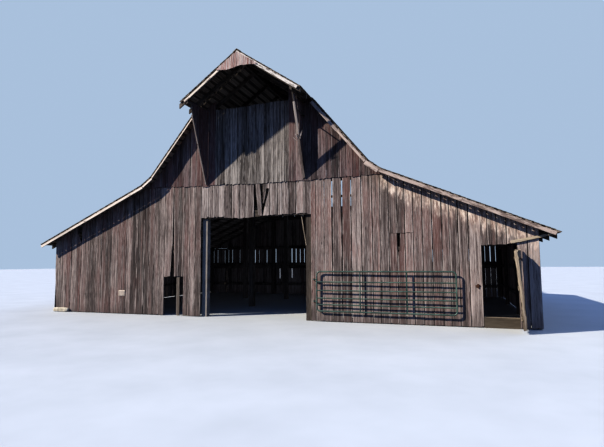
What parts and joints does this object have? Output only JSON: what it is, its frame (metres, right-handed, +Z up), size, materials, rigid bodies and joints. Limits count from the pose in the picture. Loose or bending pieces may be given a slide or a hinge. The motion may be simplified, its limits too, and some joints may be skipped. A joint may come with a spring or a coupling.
{
  "type": "gambrel barn",
  "caption": "Weathered timber barn with a gambrel roof, a projecting hay hood over a closed hay door, lean-to aisles, an open drive-through doorway, a hinged side door and a tube gate.",
  "frame": {"origin": "on the ground, under the middle of the whole outline, on the centre line of the barn", "axes": "+Z up; +X along the front wall, to the right as seen from the front; the front wall with the hood and the doorways faces -Y"},
  "size_m": [18.56, 13.972, 8.8693],
  "materials": {
    "weathered_red_boards": "matte",
    "red_gable_boards": "matte",
    "grey_boards": "matte",
    "timber": "matte",
    "roof_shingles": "matte",
    "pale_trim": "matte",
    "green_tube": "satin",
    "iron": "matte",
    "plate_metal": "matte",
    "stone": "matte"
  },
  "bodies": {
    "barn": {"corner_footing": "stone", "front_wall_left": "weathered_red_boards", "front_over_doors": "weathered_red_boards", "front_wall_jamb": "weathered_red_boards", "front_header_boards": "grey_boards", "split_boards": "grey_boards", "front_wall_right": "weathered_red_boards", "front_wall_corner": "weathered_red_boards", "front_gable_left": "red_gable_boards", "front_gable_right": "red_gable_boards", "hay_door": "grey_boards", "rear_wall": "weathered_red_boards", "rear_gables": "red_gable_boards", "side_walls": "weathered_red_boards", "front_girts": "timber", "rear_girts": "timber", "side_girts": "timber", "aisle_posts": "timber", "main_posts": "timber", "side_posts": "timber", "tie_beams": "timber", "plates": "timber", "ridge_board": "timber", "upper_rafters": "timber", "steep_rafters": "timber", "lean_rafters": "timber", "upper_roof": "roof_shingles", "steep_roofs": "roof_shingles", "lean_roofs": "roof_shingles", "hood_barge": "pale_trim", "front_barge": "pale_trim", "rear_barge": "pale_trim", "hood_peak_boards": "red_gable_boards", "hood_wings": "red_gable_boards", "hood_struts": "grey_boards", "header_pole": "grey_boards", "side_door_sill": "grey_boards", "hinge_hooks": "iron", "wall_plate": "plate_metal", "stock_door_plank": "grey_boards", "hanging_lath": "grey_boards"},
    "side_door": {"side_door_leaf": "grey_boards", "side_door_straps": "iron"},
    "gate": {"gate": "green_tube", "gate_eyes": "green_tube"}
  },
  "joints": [
    {"name": "side_door_hinge", "type": "hinge", "parent": "barn", "child": "side_door", "pos_m": [8.265, -5.642, 1.2], "axis": [0, 0, 1], "range_deg": [-80, 95]},
    {"name": "gate_hinge", "type": "hinge", "parent": "barn", "child": "gate", "pos_m": [2.19, -5.704, 0.97], "axis": [0, 0, 1], "range_deg": [-179.5, 1]}
  ]
}
